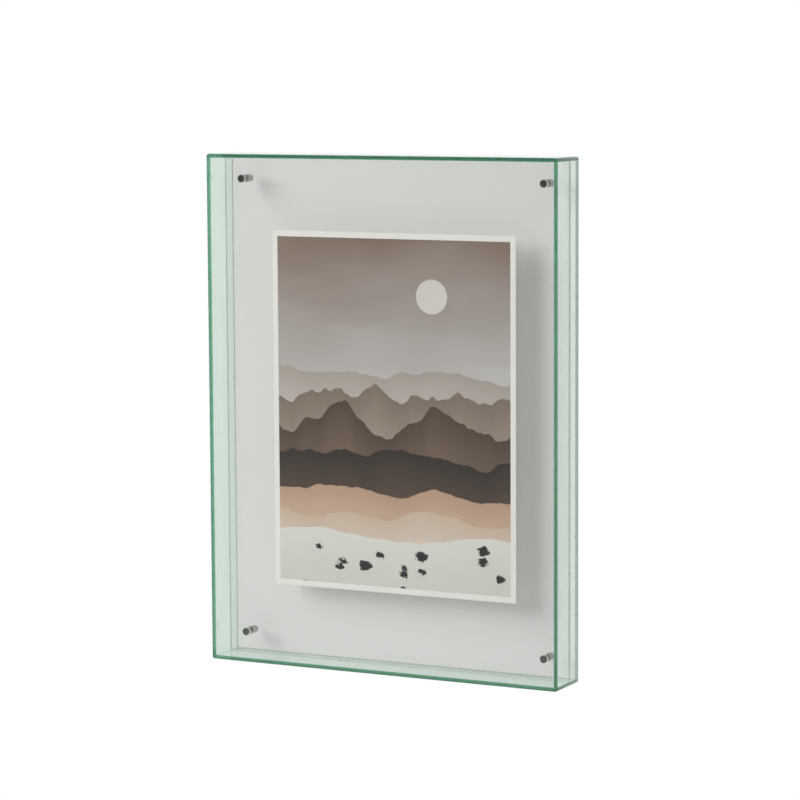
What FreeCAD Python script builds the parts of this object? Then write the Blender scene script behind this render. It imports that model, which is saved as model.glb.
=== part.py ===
import FreeCAD, Part
import os
import Sketcher

# Magnetic box frame of clear green-tinted acrylic.
# Origin: middle of the footprint, on the surface that the frame stands on.
# +X is to the right seen from the front, +Y runs back through the frame, +Z is up.
# All sizes are in millimetres.

SIZES = [
    ("frame_width", 300.0, "outside of the cover, left to right"),
    ("frame_height", 400.0, "outside of the cover, bottom to top"),
    ("wall_thickness", 3.0, "four walls of the cover"),
    ("front_panel_thickness", 3.0, "window of the cover"),
    ("back_panel_thickness", 3.0, "panel that closes the cover from behind"),
    ("corner_radius", 2.0, "polished outside corners and front edges of the cover"),
    ("corner_radius_limit_share", 0.9, "most of a sheet that its rounded edge may take"),
    ("front_space", 22.0, "air between the window and the front sheet"),
    ("front_sheet_thickness", 1.5, "clear sheet in front of the print"),
    ("print_thickness", 0.25, "paper of the print"),
    ("rear_sheet_thickness", 1.5, "clear sheet behind the print"),
    ("standoff_length", 8.75, "from the rear sheet to the back panel"),
    ("back_panel_clearance", 0.2, "slip fit of the back panel in the walls, each side"),
    ("sheet_clearance", 0.3, "slip fit of the two sheets in the walls, each side"),
    ("print_width", 210.0, "paper, left to right"),
    ("print_height", 280.0, "paper, bottom to top"),
    ("fastener_inset", 20.0, "magnet and standoff axes from the outside of the cover"),
    ("magnet_diameter", 6.0, "disc magnet"),
    ("magnet_length", 4.0, "disc magnet"),
    ("magnet_edge_radius", 0.3, "plated edge of the disc magnet"),
    ("standoff_diameter", 6.0, "steel standoff"),
    ("standoff_edge_radius", 0.25, "turned edge of the standoff"),
]

SIDES = {"left": -1, "right": 1}
LEVELS = {"bottom": -1, "top": 1}

# The frame's layers from front to back, each behind the ones before it.
LAYERS = [
    "front_panel_thickness",
    "front_space",
    "front_sheet_thickness",
    "print_thickness",
    "rear_sheet_thickness",
    "standoff_length",
    "back_panel_thickness",
]

doc = FreeCAD.newDocument("box_frame")


def make_sheet():
    """Puts each driving size in a cell of its own, under its own alias."""
    sheet = doc.addObject("Spreadsheet::Sheet", "Sizes")
    for row, (alias, value, note) in enumerate(SIZES, start=1):
        sheet.set(f"A{row}", alias)
        sheet.set(f"B{row}", str(value))
        sheet.set(f"C{row}", note)
        sheet.setAlias(f"B{row}", alias)
    doc.recompute()


def total(names):
    """Expression for the sum of the named sizes."""
    return "(" + " + ".join("Sizes." + name for name in names) + ")"


FRAME_DEPTH = total(LAYERS)
WALL_DEPTH = f"({FRAME_DEPTH} - Sizes.front_panel_thickness)"
INSIDE_WIDTH = "(Sizes.frame_width - 2 * Sizes.wall_thickness)"
INSIDE_HEIGHT = "(Sizes.frame_height - 2 * Sizes.wall_thickness)"
MIDDLE_HEIGHT = "Sizes.frame_height / 2"
THINNEST_COVER_SHEET = "min(Sizes.wall_thickness; Sizes.front_panel_thickness)"
CORNER_RADIUS = f"min(Sizes.corner_radius; {THINNEST_COVER_SHEET} * Sizes.corner_radius_limit_share)"


def layer_front(name):
    """Expression for the Y of a layer's front face, with the frame centred on Y = 0."""
    before = LAYERS[: LAYERS.index(name)]
    start = total(before) if before else "0"
    return f"{start} - {FRAME_DEPTH} / 2"


def start_sketch(body, label):
    """Empty sketch on the body's own XZ plane: sketch X is +X, and sketch Y is +Z."""
    sketch = body.newObject("Sketcher::SketchObject", label + "_outline")
    planes = [feature for feature in body.Origin.OriginFeatures if feature.Role == "XZ_Plane"]
    sketch.AttachmentSupport = (planes[0], [""])
    sketch.MapMode = "FlatFace"
    return sketch


def drive(sketch, constraint, name, expression):
    """Adds a named dimension to the sketch and binds it to an expression."""
    index = sketch.addConstraint(constraint)
    sketch.renameConstraint(index, name)
    sketch.setExpression("Constraints." + name, expression)


def pad_back(body, sketch, label, length):
    """Extrudes a sketch towards +Y, from the body's own XZ plane."""
    pad = body.newObject("PartDesign::Pad", label + "_pad")
    pad.Profile = sketch
    pad.Reversed = True
    pad.setExpression("Length", length)
    sketch.Visibility = False
    doc.recompute()
    return pad


def place(body, x, y, z):
    """Binds the body's position to three expressions."""
    body.setExpression("Placement.Base.x", x)
    body.setExpression("Placement.Base.y", y)
    body.setExpression("Placement.Base.z", z)


def round_edges(body, pad, label, names, radius):
    """Rounds the named edges of the pad."""
    fillet = body.newObject("PartDesign::Fillet", label + "_rounding")
    fillet.Base = (pad, names)
    fillet.setExpression("Radius", radius)
    doc.recompute()


def make_plate(label, width, height, thickness, x, y, z):
    """Flat rectangular piece, centred on its own X and Z, with its front face at its own Y = 0."""
    body = doc.addObject("PartDesign::Body", label)
    body.Label = label
    sketch = start_sketch(body, label)
    corners = [(-1, -1), (1, -1), (1, 1), (-1, 1)]
    points = [FreeCAD.Vector(across, up, 0) for across, up in corners]
    for index, point in enumerate(points):
        following = points[(index + 1) % len(points)]
        sketch.addGeometry(Part.LineSegment(point, following), False)
    bottom, right, top, left = range(len(points))
    for line, following in ((bottom, right), (right, top), (top, left), (left, bottom)):
        sketch.addConstraint(Sketcher.Constraint("Coincident", line, 2, following, 1))
    for line in (bottom, top):
        sketch.addConstraint(Sketcher.Constraint("Horizontal", line))
    for line in (right, left):
        sketch.addConstraint(Sketcher.Constraint("Vertical", line))
    sketch.addConstraint(Sketcher.Constraint("Symmetric", bottom, 1, right, 2, -1, 1))
    drive(sketch, Sketcher.Constraint("DistanceX", bottom, 1, bottom, 2, 1), "width", width)
    drive(sketch, Sketcher.Constraint("DistanceY", right, 1, right, 2, 1), "height", height)
    pad = pad_back(body, sketch, label, thickness)
    place(body, x, y, z)
    return body, pad


def depth_edges(pad, sides, levels):
    """Names of the pad's edges along Y at the given signs of X and Z."""
    names = []
    for index, edge in enumerate(pad.Shape.Edges, start=1):
        first, last = (vertex.Point for vertex in edge.Vertexes)
        along_depth = first.x == last.x and first.z == last.z
        picked = any(first.x * side > 0 for side in sides) and any(first.z * level > 0 for level in levels)
        if along_depth and picked:
            names.append(f"Edge{index}")
    return names


def front_edges(pad):
    """Names of the edges round the pad's front face."""
    middle = pad.Shape.CenterOfMass.y
    names = []
    for index, edge in enumerate(pad.Shape.Edges, start=1):
        if all(vertex.Point.y < middle for vertex in edge.Vertexes):
            names.append(f"Edge{index}")
    return names


def make_rod(label, diameter, length, edge_radius, x, y, z):
    """Round piece along +Y, with its front face at its own Y = 0 and both ends rounded."""
    body = doc.addObject("PartDesign::Body", label)
    body.Label = label
    sketch = start_sketch(body, label)
    sketch.addGeometry(Part.Circle(FreeCAD.Vector(0, 0, 0), FreeCAD.Vector(0, 0, 1), 1), False)
    sketch.addConstraint(Sketcher.Constraint("Coincident", 0, 3, -1, 1))
    drive(sketch, Sketcher.Constraint("Diameter", 0, 1), "diameter", diameter)
    pad = pad_back(body, sketch, label, length)
    ends = [
        f"Edge{index}"
        for index, edge in enumerate(pad.Shape.Edges, start=1)
        if isinstance(edge.Curve, Part.Circle)
    ]
    round_edges(body, pad, label, ends, edge_radius)
    place(body, x, y, z)
    return body


def make_cover():
    """Window and four walls, bonded to each other: they lift off forwards as one."""
    behind_window = layer_front("front_space")
    window, pad = make_plate(
        "front_panel",
        "Sizes.frame_width",
        "Sizes.frame_height",
        "Sizes.front_panel_thickness",
        "0",
        layer_front("front_panel_thickness"),
        MIDDLE_HEIGHT,
    )
    outside = depth_edges(pad, SIDES.values(), LEVELS.values()) + front_edges(pad)
    round_edges(window, pad, "front_panel", outside, CORNER_RADIUS)
    pieces = [window]
    for name, side in SIDES.items():
        wall, pad = make_plate(
            name + "_wall",
            "Sizes.wall_thickness",
            "Sizes.frame_height",
            WALL_DEPTH,
            f"{side} * (Sizes.frame_width - Sizes.wall_thickness) / 2",
            behind_window,
            MIDDLE_HEIGHT,
        )
        corners = depth_edges(pad, [side], LEVELS.values())
        round_edges(wall, pad, name + "_wall", corners, CORNER_RADIUS)
        pieces.append(wall)
    for name, level in LEVELS.items():
        wall, pad = make_plate(
            name + "_wall",
            INSIDE_WIDTH,
            "Sizes.wall_thickness",
            WALL_DEPTH,
            "0",
            behind_window,
            f"{MIDDLE_HEIGHT} + {level} * (Sizes.frame_height - Sizes.wall_thickness) / 2",
        )
        pieces.append(wall)
    return pieces


def make_inner_plate(label, clearance, thickness):
    """Plate that fills the inside of the walls but for its clearance."""
    plate, pad = make_plate(
        label,
        f"{INSIDE_WIDTH} - 2 * Sizes.{clearance}",
        f"{INSIDE_HEIGHT} - 2 * Sizes.{clearance}",
        "Sizes." + thickness,
        "0",
        layer_front(thickness),
        MIDDLE_HEIGHT,
    )
    return plate


def make_print():
    """Sheet of paper, held between the two clear sheets."""
    paper, pad = make_plate(
        "print",
        "Sizes.print_width",
        "Sizes.print_height",
        "Sizes.print_thickness",
        "0",
        layer_front("print_thickness"),
        MIDDLE_HEIGHT,
    )
    return paper


def make_fasteners():
    """One magnet on the front sheet and one standoff behind the rear sheet, near each corner."""
    pieces = []
    for level_name, level in LEVELS.items():
        for side_name, side in SIDES.items():
            corner = f"{level_name}_{side_name}"
            across = f"{side} * (Sizes.frame_width / 2 - Sizes.fastener_inset)"
            up = f"{MIDDLE_HEIGHT} + {level} * (Sizes.frame_height / 2 - Sizes.fastener_inset)"
            magnet_front = f"{layer_front('front_sheet_thickness')} - Sizes.magnet_length"
            magnet = make_rod(
                "magnet_" + corner,
                "Sizes.magnet_diameter",
                "Sizes.magnet_length",
                "Sizes.magnet_edge_radius",
                across,
                magnet_front,
                up,
            )
            standoff = make_rod(
                "standoff_" + corner,
                "Sizes.standoff_diameter",
                "Sizes.standoff_length",
                "Sizes.standoff_edge_radius",
                across,
                layer_front("standoff_length"),
                up,
            )
            pieces += [magnet, standoff]
    return pieces


def check(pieces):
    """Stops if anything in the document failed, or if a piece is not one sound solid."""
    failed = [item.Name for item in doc.Objects if {"Invalid", "Error"} & set(item.State)]
    if failed:
        raise RuntimeError("failed objects: " + ", ".join(failed))
    for piece in pieces:
        shape = piece.Shape
        if shape.isNull() or not shape.isValid() or len(shape.Solids) != 1:
            raise RuntimeError("bad shape: " + piece.Label)


def write(pieces):
    """Writes one STEP file for each piece."""
    os.makedirs("parts", exist_ok=True)
    for piece in pieces:
        piece.Shape.exportStep(os.path.join("parts", piece.Label + ".step"))
        box = piece.Shape.BoundBox
        print(f"{piece.Label}: {box.XLength:.2f} x {box.YLength:.2f} x {box.ZLength:.2f}, front {box.YMin:.2f}")


make_sheet()
pieces = make_cover()
pieces.append(make_inner_plate("front_sheet", "sheet_clearance", "front_sheet_thickness"))
pieces.append(make_print())
pieces.append(make_inner_plate("rear_sheet", "sheet_clearance", "rear_sheet_thickness"))
pieces.append(make_inner_plate("back_panel", "back_panel_clearance", "back_panel_thickness"))
pieces += make_fasteners()
doc.recompute()
check(pieces)
write(pieces)
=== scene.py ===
import math
import bmesh
import bpy
from mathutils import Matrix, Vector


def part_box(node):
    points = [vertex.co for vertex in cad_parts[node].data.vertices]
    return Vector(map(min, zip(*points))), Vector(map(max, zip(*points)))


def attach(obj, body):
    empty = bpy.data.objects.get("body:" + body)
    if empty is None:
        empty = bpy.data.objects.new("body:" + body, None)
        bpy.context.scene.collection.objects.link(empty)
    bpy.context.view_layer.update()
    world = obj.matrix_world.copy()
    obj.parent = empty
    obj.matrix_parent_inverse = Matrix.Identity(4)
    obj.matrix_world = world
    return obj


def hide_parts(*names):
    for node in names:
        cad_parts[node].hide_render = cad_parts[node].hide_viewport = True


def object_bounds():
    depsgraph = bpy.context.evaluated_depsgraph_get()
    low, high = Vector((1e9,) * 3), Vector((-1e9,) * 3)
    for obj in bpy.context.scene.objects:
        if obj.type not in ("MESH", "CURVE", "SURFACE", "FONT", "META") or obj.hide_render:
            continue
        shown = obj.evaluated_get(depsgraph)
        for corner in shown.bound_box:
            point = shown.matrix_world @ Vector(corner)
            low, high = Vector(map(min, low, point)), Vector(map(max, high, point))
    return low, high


# Magnetic box frame of clear green-tinted acrylic. Lengths are in metres.
# +X is to the right seen from the front, +Y runs back through the frame, +Z is up.

CORNERS = ("bottom_left", "bottom_right", "top_left", "top_right")
COVER_NODES = ("front_panel", "left_wall", "right_wall", "bottom_wall", "top_wall")

# Rounded and eased edges, each with its number of segments.
COVER_CORNER_RADIUS, COVER_CORNER_SEGMENTS = 0.002, 8
COVER_ARRIS, COVER_ARRIS_SEGMENTS = 0.0003, 3
SHEET_ARRIS = 0.00012
PANEL_ARRIS = 0.0002
PLATE_ARRIS_SEGMENTS = 2
PAPER_ARRIS, PAPER_ARRIS_SEGMENTS = 0.00003, 1
MAGNET_EDGE_RADIUS = 0.0003
STANDOFF_EDGE_RADIUS = 0.0005
ROD_SEGMENTS = 64
ROD_EDGE_SEGMENTS = 4

# A normal whose largest part is above the limit belongs to a flat that lies square to an axis.
FLAT_LIMIT = 0.9999
FACING_LIMIT = 0.999
SHARP_ANGLE = math.radians(60)

# An end of an edge lies in a side of the cover if it is nearer than this share of a wall.
NEAR_SHARE = 0.1

# Nearly all values of a noise lie between these two.
NOISE_LOW, NOISE_HIGH = 0.3, 0.7
NOISE_MIDDLE = 0.5

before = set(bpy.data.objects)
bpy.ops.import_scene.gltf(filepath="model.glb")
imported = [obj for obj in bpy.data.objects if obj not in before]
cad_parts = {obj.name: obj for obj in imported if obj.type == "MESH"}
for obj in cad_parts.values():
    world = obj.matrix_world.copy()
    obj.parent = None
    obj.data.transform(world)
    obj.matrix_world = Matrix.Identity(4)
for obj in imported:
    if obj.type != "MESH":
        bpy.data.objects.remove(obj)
cad_low, cad_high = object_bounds()
scene = bpy.context.scene


def span(*nodes):
    """Lowest and highest corner of several CAD nodes together."""
    boxes = [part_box(node) for node in nodes]
    low = Vector(min(box[0][axis] for box in boxes) for axis in range(3))
    high = Vector(max(box[1][axis] for box in boxes) for axis in range(3))
    return low, high


def start_block(low, high):
    """A bmesh box between two corners."""
    bm = bmesh.new()
    bmesh.ops.create_cube(bm, size=1.0)
    bmesh.ops.scale(bm, vec=high - low, verts=bm.verts)
    bmesh.ops.translate(bm, vec=(low + high) / 2, verts=bm.verts)
    return bm


def face_towards(bm, direction):
    """The largest face whose normal points the given way."""
    bm.normal_update()
    facing = [face for face in bm.faces if face.normal.dot(Vector(direction)) > FACING_LIMIT]
    return max(facing, key=lambda face: face.calc_area())


def bevel_edges(bm, edges, radius, segments):
    """Rounds the given edges."""
    bmesh.ops.bevel(
        bm, geom=edges, offset=radius, segments=segments, affect="EDGES", profile=0.5, material=-1
    )


def sharp_edges(bm):
    """Edges that turn sharply from one face to the next."""
    bm.normal_update()
    return [edge for edge in bm.edges if edge.is_manifold and edge.calc_face_angle() > SHARP_ANGLE]


def smooth_rounded_faces(bm):
    """Rounded edges are shaded smooth, and the flats stay flat."""
    bm.normal_update()
    for face in bm.faces:
        face.smooth = max(abs(part) for part in face.normal) < FLAT_LIMIT


def finish_piece(bm, name, body, nodes, materials):
    """Turns a bmesh into a piece that stands for CAD nodes and rides on their body."""
    bm.normal_update()
    mesh = bpy.data.meshes.new(name)
    bm.to_mesh(mesh)
    bm.free()
    for material in materials:
        mesh.materials.append(material)
    piece = bpy.data.objects.new(name, mesh)
    scene.collection.objects.link(piece)
    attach(piece, body)
    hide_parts(*nodes)
    return piece


def let_light_through(piece):
    """Clear acrylic passes the lamps' light on to what is behind it."""
    piece.visible_shadow = False
    piece.visible_diffuse = False


def new_material(name):
    """An empty node material with its tree and its output."""
    material = bpy.data.materials.new(name)
    material.use_nodes = True
    material.node_tree.nodes.clear()
    output = material.node_tree.nodes.new("ShaderNodeOutputMaterial")
    return material, material.node_tree, output


def add(tree, kind, **inputs):
    """A node with some of its inputs set."""
    node = tree.nodes.new(kind)
    for name, value in inputs.items():
        node.inputs[name.replace("_", " ")].default_value = value
    return node


def join(tree, source, target):
    """Links an output socket to an input socket."""
    tree.links.new(source, target)


def compute(tree, operation, first, second=0.0, clamp=False):
    """Math node on sockets or numbers, and its output."""
    node = tree.nodes.new("ShaderNodeMath")
    node.operation = operation
    node.use_clamp = clamp
    for socket, value in zip(node.inputs, (first, second)):
        if isinstance(value, bpy.types.NodeSocket):
            join(tree, value, socket)
        else:
            socket.default_value = value
    return node.outputs["Value"]


def remap(tree, value, low, high, new_low, new_high):
    """Value carried from one range to another, held inside the new one."""
    node = add(
        tree, "ShaderNodeMapRange", From_Min=low, From_Max=high, To_Min=new_low, To_Max=new_high
    )
    join(tree, value, node.inputs["Value"])
    return node.outputs["Result"]


def vary(tree, noise_value, new_low, new_high):
    """Noise carried to a range that its values then fill."""
    return remap(tree, noise_value, NOISE_LOW, NOISE_HIGH, new_low, new_high)


def blend(tree, share, first, second):
    """Mix of two colours, each a colour or a socket."""
    node = tree.nodes.new("ShaderNodeMix")
    node.data_type = "RGBA"
    colours = [socket for socket in node.inputs if socket.type == "RGBA"]
    factor = [socket for socket in node.inputs if socket.type == "VALUE"][0]
    for socket, value in zip([factor] + colours, (share, first, second)):
        if isinstance(value, bpy.types.NodeSocket):
            join(tree, value, socket)
        else:
            socket.default_value = value if socket.type == "VALUE" else (*value, 1)
    return [socket for socket in node.outputs if socket.type == "RGBA"][0]


def position(tree):
    """Place on the object in metres."""
    return tree.nodes.new("ShaderNodeTexCoord").outputs["Object"]


def split(tree, vector):
    """The X, Y and Z of a vector."""
    parts = tree.nodes.new("ShaderNodeSeparateXYZ")
    join(tree, vector, parts.inputs["Vector"])
    return parts.outputs["X"], parts.outputs["Y"], parts.outputs["Z"]


def noise(tree, vector, size, detail, stretch=(1.0, 1.0, 1.0)):
    """Noise from 0 to 1 whose grains have the given size in metres."""
    scaled = add(tree, "ShaderNodeMapping", Scale=stretch)
    join(tree, vector, scaled.inputs["Vector"])
    node = add(tree, "ShaderNodeTexNoise", Scale=1 / size, Detail=detail)
    join(tree, scaled.outputs["Vector"], node.inputs["Vector"])
    return node.outputs["Fac"]


def bump(tree, height, distance):
    """Normal from a height."""
    node = add(tree, "ShaderNodeBump", Distance=distance, Strength=1.0)
    join(tree, height, node.inputs["Height"])
    return node.outputs["Normal"]


def tone(red, green, blue):
    """Linear colour from screen values of 0 to 255."""
    scaled = (red / 255, green / 255, blue / 255)
    return tuple(
        part / 12.92 if part < 0.04045 else ((part + 0.055) / 1.055) ** 2.4 for part in scaled
    )


# Polish: wiping marks that run up and down, and the slow waviness of cast sheet.
WIPE_SIZE, WIPE_DETAIL, WIPE_STRETCH = 0.03, 4.0, (1.0, 1.0, 0.35)
WIPE_START, WIPE_FULL, WIPE_ROUGHNESS = 0.5, 0.8, 0.01
WAVE_SIZE, WAVE_DETAIL, WAVE_HEIGHT = 0.06, 1.0, 0.000003


def make_polish_group():
    """Roughness and normal of polished acrylic."""
    group = bpy.data.node_groups.new("polish", "ShaderNodeTree")
    group.interface.new_socket("Place", in_out="INPUT", socket_type="NodeSocketVector")
    group.interface.new_socket("Roughness", in_out="OUTPUT", socket_type="NodeSocketFloat")
    group.interface.new_socket("Normal", in_out="OUTPUT", socket_type="NodeSocketVector")
    place = group.nodes.new("NodeGroupInput").outputs["Place"]
    outputs = group.nodes.new("NodeGroupOutput").inputs
    wipes = noise(group, place, WIPE_SIZE, WIPE_DETAIL, WIPE_STRETCH)
    waves = noise(group, place, WAVE_SIZE, WAVE_DETAIL)
    roughness = remap(group, wipes, WIPE_START, WIPE_FULL, 0.0, WIPE_ROUGHNESS)
    join(group, roughness, outputs["Roughness"])
    join(group, bump(group, waves, WAVE_HEIGHT), outputs["Normal"])
    return group


def polish(tree, polish_group, place):
    """The polish group in a material: its roughness and its normal."""
    node = tree.nodes.new("ShaderNodeGroup")
    node.node_tree = polish_group
    join(tree, place, node.inputs["Place"])
    return node.outputs["Roughness"], node.outputs["Normal"]


ACRYLIC_IOR = 1.49
GREEN_TINT = (0.0, 0.81, 0.44)
GREEN_DENSITY = 16.0

# The walls' own colour sets in just behind the window, and the saw-cut finish, with painted shade
# on it, just before their ends.
WALL_COLOUR = (0.92, 1.0, 0.955)
WALL_COLOUR_START, WALL_COLOUR_FULL = 0.0004, 0.0008
SAWN_SHADE_START, SAWN_SHADE_FULL = 0.0004, 0.0001
# Painted shade on the rear ends, in place of the shadow that the clear cover does not cast:
# darkest at the top, darker at the bottom.
SHADED_END_SIDES = (0.165, 0.36, 0.26)
SHADED_END_TOP = (0.03, 0.125, 0.075)
SHADED_END_BOTTOM = (0.095, 0.225, 0.155)
SHADE_SEAM = 0.0003
SAWN_ROUGHNESS = 0.5


def make_green_acrylic(polish_group):
    """Cover: clear, green along its edges, with saw-cut rough rear ends darkened by painted shade.
    """
    material, tree, output = new_material("green_acrylic")
    place = position(tree)
    _, along, up = split(tree, place)
    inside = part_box("left_wall")[0].y
    walls = remap(tree, along, inside + WALL_COLOUR_START, inside + WALL_COLOUR_FULL, 0.0, 1.0)
    clear = blend(tree, walls, (1, 1, 1), WALL_COLOUR)
    inner_top, inner_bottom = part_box("top_wall")[0].z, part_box("bottom_wall")[1].z
    # Painted shade: the rear ends are darkest along the top wall and darker along the bottom wall.
    in_top = remap(tree, up, inner_top - SHADE_SEAM, inner_top, 0.0, 1.0)
    off_bottom = remap(tree, up, inner_bottom, inner_bottom + SHADE_SEAM, 0.0, 1.0)
    ends = blend(tree, off_bottom, SHADED_END_BOTTOM, blend(tree, in_top, SHADED_END_SIDES, SHADED_END_TOP))
    sawn_and_shaded = remap(tree, along, cad_high.y - SAWN_SHADE_START, cad_high.y - SAWN_SHADE_FULL, 0.0, 1.0)
    surface = add(tree, "ShaderNodeBsdfPrincipled", IOR=ACRYLIC_IOR, Transmission_Weight=1.0)
    join(tree, blend(tree, sawn_and_shaded, clear, ends), surface.inputs["Base Color"])
    wiped, wavy = polish(tree, polish_group, place)
    rough = compute(tree, "MULTIPLY", sawn_and_shaded, SAWN_ROUGHNESS)
    join(tree, compute(tree, "MAXIMUM", rough, wiped), surface.inputs["Roughness"])
    join(tree, wavy, surface.inputs["Normal"])
    tint = add(
        tree, "ShaderNodeVolumeAbsorption", Color=(*GREEN_TINT, 1), Density=GREEN_DENSITY
    )
    join(tree, surface.outputs["BSDF"], output.inputs["Surface"])
    join(tree, tint.outputs["Volume"], output.inputs["Volume"])
    return material


def make_clear_acrylic(polish_group):
    """Faces of the flat plates."""
    material, tree, output = new_material("clear_acrylic")
    surface = add(
        tree,
        "ShaderNodeBsdfPrincipled",
        Base_Color=(1, 1, 1, 1),
        IOR=ACRYLIC_IOR,
        Transmission_Weight=1.0,
    )
    wiped, wavy = polish(tree, polish_group, position(tree))
    join(tree, wiped, surface.inputs["Roughness"])
    join(tree, wavy, surface.inputs["Normal"])
    join(tree, surface.outputs["BSDF"], output.inputs["Surface"])
    return material


# Cut edges: streaks that run through the plate's thickness.
STREAK_SIZE, STREAK_DETAIL, STREAK_STRETCH = 0.0012, 3.0, (1.0, 0.05, 1.0)
STREAK_HEIGHT = 0.00008
CUT_DARK, CUT_PALE = (0.45, 0.52, 0.48), (0.68, 0.74, 0.71)
CUT_ROUGHNESS = (0.25, 0.5)
CUT_TRANSMISSION = 0.55


def make_cut_edge():
    """Frosted edges that the laser left round the flat plates."""
    material, tree, output = new_material("cut_edge")
    streaks = noise(tree, position(tree), STREAK_SIZE, STREAK_DETAIL, STREAK_STRETCH)
    surface = add(
        tree, "ShaderNodeBsdfPrincipled", IOR=ACRYLIC_IOR, Transmission_Weight=CUT_TRANSMISSION
    )
    join(tree, blend(tree, streaks, CUT_DARK, CUT_PALE), surface.inputs["Base Color"])
    join(tree, vary(tree, streaks, *CUT_ROUGHNESS), surface.inputs["Roughness"])
    join(tree, bump(tree, streaks, STREAK_HEIGHT), surface.inputs["Normal"])
    join(tree, surface.outputs["BSDF"], output.inputs["Surface"])
    return material


# Nickel: a dark and a pale colour each for the bright sides and for the front, whose darker pair
# is painted shade for the dim room it mirrors.
CLOUD_SIZE, CLOUD_DETAIL = 0.0018, 3.0
NICKEL_BRIGHT = (0.56, 0.56, 0.53), (0.74, 0.74, 0.71)
NICKEL_FRONT_SHADE = (0.17, 0.18, 0.17), (0.28, 0.29, 0.27)
FRONT_SHADE_FULL, FRONT_SHADE_END = 0.0002, 0.0004
SCUFF_SIZE, SCUFF_DETAIL, SCUFF_STRETCH = 0.0005, 4.0, (0.25, 1.0, 1.6)
SCUFF_START, SCUFF_FULL = 0.35, 0.75
SCUFF_ROUGHNESS = (0.08, 0.26)
SCUFF_HEIGHT = 0.00001


def make_plating(front):
    """Nickel on the magnets, faintly cloudy and scuffed, with painted shade darkening the front
    face.
    """
    material, tree, output = new_material("nickel_plating")
    place = position(tree)
    _, along, _ = split(tree, place)
    cloud = noise(tree, place, CLOUD_SIZE, CLOUD_DETAIL)
    scuffs = noise(tree, place, SCUFF_SIZE, SCUFF_DETAIL, SCUFF_STRETCH)
    surface = add(tree, "ShaderNodeBsdfPrincipled", Metallic=1.0)
    bright, front_shade = blend(tree, cloud, *NICKEL_BRIGHT), blend(tree, cloud, *NICKEL_FRONT_SHADE)
    # Painted shade: the front face is darkened for the dim room that it mirrors.
    face = remap(tree, along, front + FRONT_SHADE_FULL, front + FRONT_SHADE_END, 1.0, 0.0)
    join(tree, blend(tree, face, bright, front_shade), surface.inputs["Base Color"])
    roughness = remap(tree, scuffs, SCUFF_START, SCUFF_FULL, *SCUFF_ROUGHNESS)
    join(tree, roughness, surface.inputs["Roughness"])
    join(tree, bump(tree, scuffs, SCUFF_HEIGHT), surface.inputs["Normal"])
    join(tree, surface.outputs["BSDF"], output.inputs["Surface"])
    return material


# Turned steel: a dark and a pale colour, and fine rings over slight wear.
RING_PITCH = 0.00035
RING_SHARE = 0.5
RING_HEIGHT = 0.00001
WEAR_SIZE, WEAR_DETAIL = 0.0009, 3.0
STEEL_DARK, STEEL_PALE = (0.34, 0.34, 0.33), (0.52, 0.52, 0.50)
STEEL_ROUGHNESS = (0.16, 0.34)


def make_turned_steel():
    """Standoffs: bright steel with the fine rings of the lathe."""
    material, tree, output = new_material("turned_steel")
    place = position(tree)
    _, along, _ = split(tree, place)
    rings = compute(tree, "SINE", compute(tree, "MULTIPLY", along, 2 * math.pi / RING_PITCH))
    wear = noise(tree, place, WEAR_SIZE, WEAR_DETAIL)
    height = compute(tree, "ADD", compute(tree, "MULTIPLY", rings, RING_SHARE), wear)
    surface = add(tree, "ShaderNodeBsdfPrincipled", Metallic=1.0)
    join(tree, blend(tree, wear, STEEL_DARK, STEEL_PALE), surface.inputs["Base Color"])
    join(tree, vary(tree, wear, *STEEL_ROUGHNESS), surface.inputs["Roughness"])
    join(tree, bump(tree, height, RING_HEIGHT), surface.inputs["Normal"])
    join(tree, surface.outputs["BSDF"], output.inputs["Surface"])
    return material


# Landscape on the print. Its colours are screen values, which tone turns into linear ones.
SKY_TOP, SKY_FOOT = (136, 112, 98), (206, 201, 199)
SKY_START = 0.20
CLOUDS_SIZE, CLOUDS_DETAIL, CLOUDS_STRETCH = 0.05, 4.0, (0.35, 1.0, 1.0)
CLOUDS_SHARE = 0.7
SUN_PLACE = (0.034, 0.292)
SUN_RADIUS = 0.013
SUN_SOFTNESS = 0.0006
SUN_SHARE = 0.8
SUN_COLOUR = (232, 226, 219)

# Each range of hills: height of its line, relief, swell, seed, fade, crest colour, foot colour.
HILLS = (
    (0.232, 0.030, 0.050, 3.7, 0.040, (176, 163, 154), (203, 195, 189)),
    (0.214, 0.042, 0.036, 8.1, 0.045, (133, 113, 100), (170, 152, 140)),
    (0.194, 0.050, 0.045, 14.6, 0.050, (84, 64, 53), (128, 104, 88)),
    (0.168, 0.040, 0.060, 21.3, 0.040, (48, 37, 32), (92, 71, 58)),
    (0.138, 0.034, 0.075, 30.2, 0.035, (193, 156, 130), (216, 186, 162)),
    (0.120, 0.026, 0.055, 41.9, 0.030, (212, 186, 165), (227, 208, 192)),
    (0.104, 0.020, 0.080, 52.4, 0.045, (229, 225, 218), (218, 213, 205)),
)
HILL_DETAIL, HILL_ROUGHNESS = 5.0, 0.42
HILL_SOFTNESS = 0.0002

# Dark tufts on the nearest range, in cells whose edges a noise bends.
TUFT_START, TUFT_FULL = 0.004, 0.006
TUFT_BEND_SCALE, TUFT_BEND_DETAIL, TUFT_BEND = 360.0, 4.0, (0.008, 0.0, 0.008)
TUFT_STRETCH = (1.0, 0.0, 1.35)
TUFT_SCALE, TUFT_RANDOMNESS = 58.0, 0.85
TUFT_RADIUS_START, TUFT_RADIUS_FULL, TUFT_RADIUS = 0.25, 0.75, 0.34
TUFT_SOFTNESS = 0.02
TUFT_COLOUR = (34, 30, 29)

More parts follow.
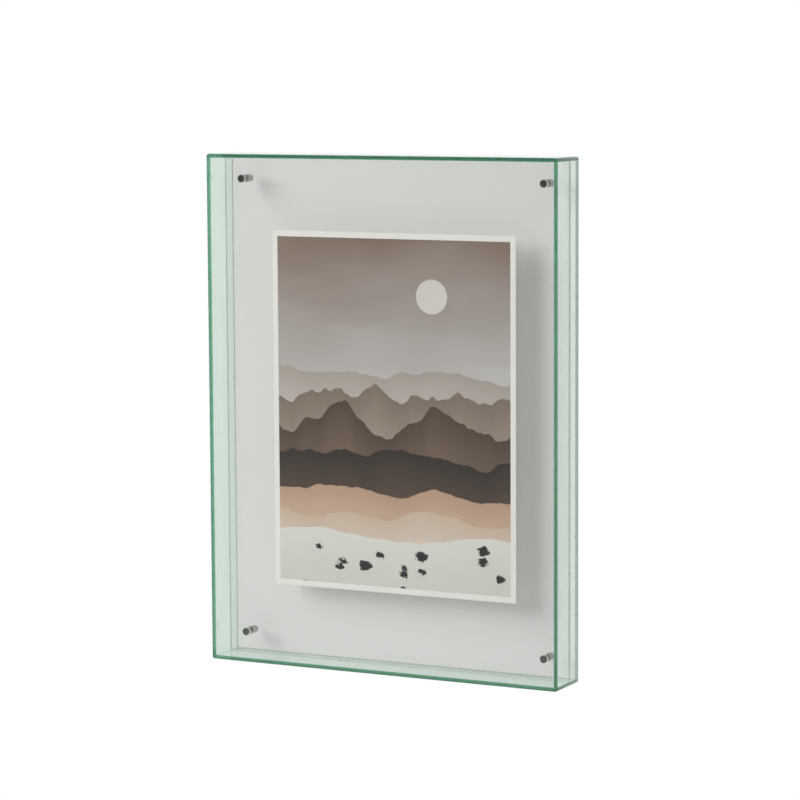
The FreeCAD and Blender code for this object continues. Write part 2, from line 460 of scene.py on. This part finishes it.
GRAIN_SIZE, GRAIN_DETAIL = 0.0006, 2.0
GRAIN_SHARE = 0.10
GRAIN_COLOUR = (120, 108, 98)
PRINT_BORDER = 0.0045
FIBRE_SIZE, FIBRE_DETAIL, FIBRE_STRETCH = 0.0011, 4.0, (1.0, 1.0, 2.2)
FIBRE_HEIGHT = 0.00002
PAPER_DARK, PAPER_PALE = (236, 232, 226), (243, 239, 234)
PAPER_ROUGHNESS = (0.34, 0.46)
PAPER_IOR = 1.5
SHOW_THROUGH = 0.07


def draw_sky(tree, place, across, up, top):
    """Cloudy sky that darkens upwards, with a pale disc."""
    clouds = noise(tree, place, CLOUDS_SIZE, CLOUDS_DETAIL, CLOUDS_STRETCH)
    rise = remap(tree, up, SKY_START, top, 0.0, 1.0)
    swing = compute(tree, "SUBTRACT", clouds, NOISE_MIDDLE)
    swing = compute(tree, "MULTIPLY", swing, CLOUDS_SHARE)
    share = compute(tree, "ADD", rise, swing, clamp=True)
    picture = blend(tree, share, tone(*SKY_FOOT), tone(*SKY_TOP))
    offsets = [compute(tree, "SUBTRACT", part, at) for part, at in zip((across, up), SUN_PLACE)]
    squares = [compute(tree, "MULTIPLY", offset, offset) for offset in offsets]
    reach = compute(tree, "SQRT", compute(tree, "ADD", *squares))
    sun = remap(tree, reach, SUN_RADIUS, SUN_RADIUS + SUN_SOFTNESS, 1.0, 0.0)
    return blend(tree, compute(tree, "MULTIPLY", sun, SUN_SHARE), picture, tone(*SUN_COLOUR))


def make_hill_group():
    """One range of hills, in front of what is already drawn behind it."""
    group = bpy.data.node_groups.new("hill_layer", "ShaderNodeTree")
    for name in ("Behind", "Crest", "Foot"):
        group.interface.new_socket(name, in_out="INPUT", socket_type="NodeSocketColor")
    for name in ("Across", "Up", "Height", "Relief", "Swell", "Seed", "Fade"):
        group.interface.new_socket(name, in_out="INPUT", socket_type="NodeSocketFloat")
    group.interface.new_socket("Picture", in_out="OUTPUT", socket_type="NodeSocketColor")
    group.interface.new_socket("Depth", in_out="OUTPUT", socket_type="NodeSocketFloat")
    inputs = group.nodes.new("NodeGroupInput").outputs
    outputs = group.nodes.new("NodeGroupOutput").inputs
    line = add(
        group, "ShaderNodeTexNoise", Scale=1.0, Detail=HILL_DETAIL, Roughness=HILL_ROUGHNESS
    )
    line.noise_dimensions = "1D"
    along = compute(group, "DIVIDE", inputs["Across"], inputs["Swell"])
    join(group, compute(group, "ADD", along, inputs["Seed"]), line.inputs["W"])
    lift = compute(group, "SUBTRACT", line.outputs["Fac"], NOISE_MIDDLE)
    relief = compute(group, "MULTIPLY", lift, inputs["Relief"])
    crest = compute(group, "ADD", inputs["Height"], relief)
    depth = compute(group, "SUBTRACT", crest, inputs["Up"])
    shade = compute(group, "DIVIDE", depth, inputs["Fade"], clamp=True)
    ground = blend(group, shade, inputs["Crest"], inputs["Foot"])
    inside = remap(group, depth, -HILL_SOFTNESS, HILL_SOFTNESS, 0.0, 1.0)
    join(group, blend(group, inside, inputs["Behind"], ground), outputs["Picture"])
    join(group, depth, outputs["Depth"])
    return group


def draw_hills(tree, picture, across, up):
    """All ranges of hills, and the depth below the nearest range's line."""
    group = make_hill_group()
    for height, relief, swell, seed, fade, crest, foot in HILLS:
        layer = tree.nodes.new("ShaderNodeGroup")
        layer.node_tree = group
        settings = {
            "Height": height, "Relief": relief, "Swell": swell, "Seed": seed, "Fade": fade
        }
        for name, value in settings.items():
            layer.inputs[name].default_value = value
        layer.inputs["Crest"].default_value = (*tone(*crest), 1)
        layer.inputs["Foot"].default_value = (*tone(*foot), 1)
        join(tree, picture, layer.inputs["Behind"])
        join(tree, across, layer.inputs["Across"])
        join(tree, up, layer.inputs["Up"])
        picture = layer.outputs["Picture"]
    return picture, layer.outputs["Depth"]


def draw_tufts(tree, picture, place, depth):
    """Scattered dark tufts on the nearest range."""
    near = remap(tree, depth, TUFT_START, TUFT_FULL, 0.0, 1.0)
    bend = add(tree, "ShaderNodeTexNoise", Scale=TUFT_BEND_SCALE, Detail=TUFT_BEND_DETAIL)
    join(tree, place, bend.inputs["Vector"])
    bent = tree.nodes.new("ShaderNodeVectorMath")
    bent.operation = "MULTIPLY_ADD"
    bent.inputs[1].default_value = TUFT_BEND
    join(tree, bend.outputs["Color"], bent.inputs[0])
    join(tree, place, bent.inputs[2])
    stretched = add(tree, "ShaderNodeMapping", Scale=TUFT_STRETCH)
    join(tree, bent.outputs["Vector"], stretched.inputs["Vector"])
    cells = add(tree, "ShaderNodeTexVoronoi", Scale=TUFT_SCALE, Randomness=TUFT_RANDOMNESS)
    join(tree, stretched.outputs["Vector"], cells.inputs["Vector"])
    chance = tree.nodes.new("ShaderNodeSeparateColor")
    join(tree, cells.outputs["Color"], chance.inputs["Color"])
    radius = remap(
        tree, chance.outputs["Red"], TUFT_RADIUS_START, TUFT_RADIUS_FULL, 0.0, TUFT_RADIUS
    )
    outside = compute(tree, "SUBTRACT", cells.outputs["Distance"], radius)
    tuft = remap(tree, outside, -TUFT_SOFTNESS, TUFT_SOFTNESS, 1.0, 0.0)
    return blend(tree, compute(tree, "MULTIPLY", tuft, near), picture, tone(*TUFT_COLOUR))


def inside_border(tree, across, up, low, high):
    """1 on the picture and 0 on the page's border."""
    sides = (
        compute(tree, "LESS_THAN", compute(tree, "ABSOLUTE", across), high.x - PRINT_BORDER),
        compute(tree, "LESS_THAN", up, high.z - PRINT_BORDER),
        compute(tree, "GREATER_THAN", up, low.z + PRINT_BORDER),
    )
    inner = compute(tree, "MULTIPLY", sides[0], sides[1])
    return compute(tree, "MULTIPLY", inner, sides[2])


def make_printed_paper(low, high):
    """Coated paper: a generic landscape inside a white border, faintly seen on its white back."""
    material, tree, output = new_material("printed_paper")
    place = position(tree)
    across, along, up = split(tree, place)
    picture = draw_sky(tree, place, across, up, high.z)
    picture, depth = draw_hills(tree, picture, across, up)
    picture = draw_tufts(tree, picture, place, depth)
    grain = noise(tree, place, GRAIN_SIZE, GRAIN_DETAIL)
    picture = blend(tree, vary(tree, grain, 0.0, GRAIN_SHARE), picture, tone(*GRAIN_COLOUR))
    framed = inside_border(tree, across, up, low, high)
    front_side = compute(tree, "LESS_THAN", along, (low.y + high.y) / 2)
    printed = compute(tree, "MULTIPLY", framed, front_side)
    fibre = noise(tree, place, FIBRE_SIZE, FIBRE_DETAIL, FIBRE_STRETCH)
    paper = blend(tree, vary(tree, fibre, 0.0, 1.0), tone(*PAPER_DARK), tone(*PAPER_PALE))
    back = blend(tree, compute(tree, "MULTIPLY", framed, SHOW_THROUGH), paper, picture)
    surface = add(tree, "ShaderNodeBsdfPrincipled", IOR=PAPER_IOR)
    join(tree, blend(tree, printed, back, picture), surface.inputs["Base Color"])
    join(tree, vary(tree, fibre, *PAPER_ROUGHNESS), surface.inputs["Roughness"])
    join(tree, bump(tree, fibre, FIBRE_HEIGHT), surface.inputs["Normal"])
    join(tree, surface.outputs["BSDF"], output.inputs["Surface"])
    return material


def closed_sides(edge, low, high, near):
    """How many of the cover's five closed sides an edge lies in."""
    ends = [vert.co for vert in edge.verts]
    sides = ((0, low), (0, high), (1, low), (2, low), (2, high))
    return sum(
        all(abs(end[axis] - corner[axis]) < near for end in ends) for axis, corner in sides
    )


def build_cover(material):
    """Window and walls, cemented into one clear shell that is open at the back."""
    low, high = span(*COVER_NODES)
    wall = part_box("left_wall")[1].x - low.x
    depth = high.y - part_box("left_wall")[0].y
    bm = start_block(low, high)
    rear = face_towards(bm, (0, 1, 0))
    bmesh.ops.inset_region(bm, faces=[rear], thickness=wall, use_even_offset=True)
    pushed = bmesh.ops.extrude_face_region(bm, geom=[rear])
    moved = [item for item in pushed["geom"] if isinstance(item, bmesh.types.BMVert)]
    bmesh.ops.translate(bm, vec=(0, -depth, 0), verts=moved)
    bmesh.ops.delete(bm, geom=[rear], context="FACES_ONLY")
    near = wall * NEAR_SHARE
    outside = [edge for edge in bm.edges if closed_sides(edge, low, high, near) == 2]
    bevel_edges(bm, outside, COVER_CORNER_RADIUS, COVER_CORNER_SEGMENTS)
    bevel_edges(bm, sharp_edges(bm), COVER_ARRIS, COVER_ARRIS_SEGMENTS)
    smooth_rounded_faces(bm)
    return finish_piece(bm, "cover", "cover", COVER_NODES, [material])


def build_plate(node, body, arris, materials):
    """Flat clear plate with frosted, eased edges. The materials are its faces' and its edges'."""
    low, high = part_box(node)
    bm = start_block(low, high)
    bevel_edges(bm, list(bm.edges), arris, PLATE_ARRIS_SEGMENTS)
    smooth_rounded_faces(bm)
    for face in bm.faces:
        face.material_index = 0 if abs(face.normal.y) > FLAT_LIMIT else 1
    return finish_piece(bm, "clear_" + node, body, [node], materials)


def build_rod(name, node, body, edge_radius, material):
    """Turned round piece along Y, rounded at both ends."""
    low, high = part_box(node)
    radius = min(high.x - low.x, high.z - low.z) / 2
    length = high.y - low.y
    turn = Matrix.Rotation(math.pi / 2, 3, "X")
    bm = bmesh.new()
    bmesh.ops.create_cone(
        bm, cap_ends=True, segments=ROD_SEGMENTS, radius1=radius, radius2=radius, depth=length
    )
    bmesh.ops.rotate(bm, cent=(0, 0, 0), matrix=turn, verts=bm.verts)
    bmesh.ops.translate(bm, vec=(low + high) / 2, verts=bm.verts)
    bevel_edges(bm, sharp_edges(bm), edge_radius, ROD_EDGE_SEGMENTS)
    bm.normal_update()
    for face in bm.faces:
        face.smooth = abs(face.normal.y) < FLAT_LIMIT
    return finish_piece(bm, name, body, [node], [material])


def build_print(material):
    """Sheet of coated paper."""
    low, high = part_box("print")
    bm = start_block(low, high)
    bevel_edges(bm, list(bm.edges), PAPER_ARRIS, PAPER_ARRIS_SEGMENTS)
    return finish_piece(bm, "picture", "print", ["print"], [material])


CAMERA_PLACE = (1.0945, -2.1112, 0.4834)
CAMERA_HEADING = math.radians(27.21)
CAMERA_TILT = math.radians(6.518)
CAMERA_ROLL = math.radians(-0.310)
CAMERA_LENS, CAMERA_SENSOR = 139.9, 36.0


def build_camera():
    """Camera, fitted to the box's edges in the photograph."""
    data = bpy.data.cameras.new("camera")
    data.lens = CAMERA_LENS
    data.sensor_width = CAMERA_SENSOR
    camera = bpy.data.objects.new("camera", data)
    scene.collection.objects.link(camera)
    turn = (
        Matrix.Rotation(CAMERA_HEADING, 4, "Z")
        @ Matrix.Rotation(math.pi / 2 - CAMERA_TILT, 4, "X")
        @ Matrix.Rotation(CAMERA_ROLL, 4, "Z")
    )
    camera.matrix_world = Matrix.Translation(CAMERA_PLACE) @ turn
    scene.camera = camera


ROOM_WALL_GAP = 0.005
ROOM_WALL_SIZE = 40.0
ROOM_WALL_PAINT = (0.80, 0.785, 0.765)
FLOOR_DROP = 0.35
FLOOR_SIZE = 2.4
FLOOR_PAINT = (0.8, 0.8, 0.8)
FLOOR_MIRRORED = (0.45, 0.45, 0.45)
FLOOR_SHADE = (0.42, 0.42, 0.42)
FLOOR_LIFT = 0.72


def make_wall_paint():
    """White seen directly or mirrored, shaded paint through the acrylic, clear from behind."""
    material, tree, output = new_material("wall_paint")
    paint = add(tree, "ShaderNodeBsdfDiffuse", Color=(*ROOM_WALL_PAINT, 1))
    white = add(tree, "ShaderNodeEmission", Color=(1, 1, 1, 1), Strength=1.0)
    clear = add(tree, "ShaderNodeBsdfTransparent", Color=(1, 1, 1, 1))
    rays = tree.nodes.new("ShaderNodeLightPath").outputs
    side = tree.nodes.new("ShaderNodeNewGeometry")
    seen = tree.nodes.new("ShaderNodeMixShader")
    through = tree.nodes.new("ShaderNodeMixShader")
    mirrored = compute(
        tree, "SUBTRACT", rays["Is Glossy Ray"], rays["Is Transmission Ray"], clamp=True
    )
    either = compute(tree, "MAXIMUM", rays["Is Camera Ray"], mirrored)
    join(tree, either, seen.inputs["Fac"])
    join(tree, paint.outputs["BSDF"], seen.inputs[1])
    join(tree, white.outputs["Emission"], seen.inputs[2])
    join(tree, side.outputs["Backfacing"], through.inputs["Fac"])
    join(tree, seen.outputs["Shader"], through.inputs[1])
    join(tree, clear.outputs["BSDF"], through.inputs[2])
    join(tree, through.outputs["Shader"], output.inputs["Surface"])
    return material


def make_floor_paint():
    """Lifted towards white where it is seen, with its shadows, and dimmer where it is mirrored."""
    material, tree, output = new_material("floor_paint")
    paint = tree.nodes.new("ShaderNodeBsdfDiffuse")
    shaded = add(tree, "ShaderNodeBsdfDiffuse", Color=(*FLOOR_SHADE, 1))
    lift = add(tree, "ShaderNodeEmission", Color=(1, 1, 1, 1), Strength=FLOOR_LIFT)
    rays = tree.nodes.new("ShaderNodeLightPath").outputs
    both = tree.nodes.new("ShaderNodeAddShader")
    seen = tree.nodes.new("ShaderNodeMixShader")
    either = compute(tree, "MAXIMUM", rays["Is Camera Ray"], rays["Is Transmission Ray"])
    colour = blend(tree, rays["Is Glossy Ray"], FLOOR_PAINT, FLOOR_MIRRORED)
    join(tree, colour, paint.inputs["Color"])
    join(tree, shaded.outputs["BSDF"], both.inputs[0])
    join(tree, lift.outputs["Emission"], both.inputs[1])
    join(tree, either, seen.inputs["Fac"])
    join(tree, paint.outputs["BSDF"], seen.inputs[1])
    join(tree, both.outputs["Shader"], seen.inputs[2])
    join(tree, seen.outputs["Shader"], output.inputs["Surface"])
    return material


def make_square(name, size, turn, place, material):
    """Square flat piece of the stage."""
    bm = bmesh.new()
    bmesh.ops.create_grid(bm, x_segments=1, y_segments=1, size=size / 2)
    bmesh.ops.rotate(bm, cent=(0, 0, 0), matrix=Matrix.Rotation(turn, 3, "X"), verts=bm.verts)
    bmesh.ops.translate(bm, vec=place, verts=bm.verts)
    mesh = bpy.data.meshes.new(name)
    bm.to_mesh(mesh)
    bm.free()
    mesh.materials.append(material)
    item = bpy.data.objects.new(name, mesh)
    scene.collection.objects.link(item)
    return item


def build_stage():
    """Floor below the frame, and the wall that it hangs in front of."""
    floor = make_square("floor", FLOOR_SIZE, 0.0, (0, 0, -FLOOR_DROP), make_floor_paint())
    behind = (0, cad_high.y + ROOM_WALL_GAP, 0)
    wall = make_square("wall", ROOM_WALL_SIZE, math.pi / 2, behind, make_wall_paint())
    wall.visible_shadow = False
    wall.visible_diffuse = False


SOFTBOX_PLACE = (-1.8, -1.6, 1.448)
SOFTBOX_TARGET = (0, 0, 0.2)
SOFTBOX_SIZE = 2.0
SOFTBOX_POWER = 57.0


def build_softbox():
    """Large round lamp at the upper left, which the acrylic neither mirrors nor scatters."""
    data = bpy.data.lights.new("softbox", "AREA")
    data.shape = "DISK"
    data.size = SOFTBOX_SIZE
    data.energy = SOFTBOX_POWER
    softbox = bpy.data.objects.new("softbox", data)
    softbox.visible_glossy = False
    softbox.visible_transmission = False
    scene.collection.objects.link(softbox)
    aim = Vector(SOFTBOX_TARGET) - Vector(SOFTBOX_PLACE)
    softbox.location = SOFTBOX_PLACE
    softbox.rotation_mode = "QUATERNION"
    softbox.rotation_quaternion = aim.to_track_quat("-Z", "Y")


# The room is dim where it is mirrored, and a little lighter below the horizon.
AIR_LIGHT = 0.53
ROOM_LIGHT = 0.12
LOW_ROOM_LIGHT = 0.36
LOW_ROOM_HEIGHT = -0.25
BEFORE_REFLECTION = 0.5


def build_world():
    """White seen directly or straight through, dim where mirrored, and soft light otherwise."""
    world = bpy.data.worlds.new("studio")
    scene.world = world
    world.use_nodes = True
    tree = world.node_tree
    tree.nodes.clear()
    output = tree.nodes.new("ShaderNodeOutputWorld")
    air = add(tree, "ShaderNodeBackground", Color=(1, 1, 1, 1), Strength=AIR_LIGHT)
    white = add(tree, "ShaderNodeBackground", Color=(1, 1, 1, 1), Strength=1.0)
    room = add(tree, "ShaderNodeBackground", Color=(1, 1, 1, 1))
    _, _, height = split(tree, tree.nodes.new("ShaderNodeTexCoord").outputs["Generated"])
    room_light = remap(tree, height, LOW_ROOM_HEIGHT, 0.0, LOW_ROOM_LIGHT, ROOM_LIGHT)
    join(tree, room_light, room.inputs["Strength"])
    rays = tree.nodes.new("ShaderNodeLightPath").outputs
    indirect = tree.nodes.new("ShaderNodeMixShader")
    seen = tree.nodes.new("ShaderNodeMixShader")
    passed = rays["Is Transmission Ray"]
    straight = compute(tree, "LESS_THAN", rays["Glossy Depth"], BEFORE_REFLECTION)
    passed_straight = compute(tree, "MULTIPLY", passed, straight)
    direct = compute(tree, "MAXIMUM", rays["Is Camera Ray"], passed_straight)
    join(tree, compute(tree, "MAXIMUM", rays["Is Glossy Ray"], passed), indirect.inputs["Fac"])
    join(tree, air.outputs["Background"], indirect.inputs[1])
    join(tree, room.outputs["Background"], indirect.inputs[2])
    join(tree, direct, seen.inputs["Fac"])
    join(tree, indirect.outputs["Shader"], seen.inputs[1])
    join(tree, white.outputs["Background"], seen.inputs[2])
    join(tree, seen.outputs["Shader"], output.inputs["Surface"])


# Light that runs inside the long sheets of acrylic turns many times before it comes out.
MOST_BOUNCES = 96
MOST_TRANSMISSIONS = 64
MOST_TRANSPARENT = 32


def settle_render():
    """Plain colours, and paths long enough for the acrylic."""
    scene.view_settings.view_transform = "Standard"
    scene.cycles.max_bounces = MOST_BOUNCES
    scene.cycles.glossy_bounces = MOST_BOUNCES
    scene.cycles.transmission_bounces = MOST_TRANSMISSIONS
    scene.cycles.transparent_max_bounces = MOST_TRANSPARENT
    scene.cycles.caustics_reflective = False
    scene.cycles.caustics_refractive = False


polish_group = make_polish_group()
green_acrylic = make_green_acrylic(polish_group)
plate_materials = [make_clear_acrylic(polish_group), make_cut_edge()]
nickel_plating = make_plating(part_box("magnet_top_left")[0].y)
turned_steel = make_turned_steel()
printed_paper = make_printed_paper(*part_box("print"))

clear_pieces = [
    build_cover(green_acrylic),
    build_plate("front_sheet", "front_sheet", SHEET_ARRIS, plate_materials),
    build_plate("rear_sheet", "rear_sheet", SHEET_ARRIS, plate_materials),
    build_plate("back_panel", "back", PANEL_ARRIS, plate_materials),
]
for piece in clear_pieces:
    let_light_through(piece)

for corner in CORNERS:
    magnet, standoff = "magnet_" + corner, "standoff_" + corner
    build_rod("disc_" + corner, magnet, magnet, MAGNET_EDGE_RADIUS, nickel_plating)
    build_rod("post_" + corner, standoff, "back", STANDOFF_EDGE_RADIUS, turned_steel)
build_print(printed_paper)

build_stage()
build_softbox()
build_world()
build_camera()
settle_render()
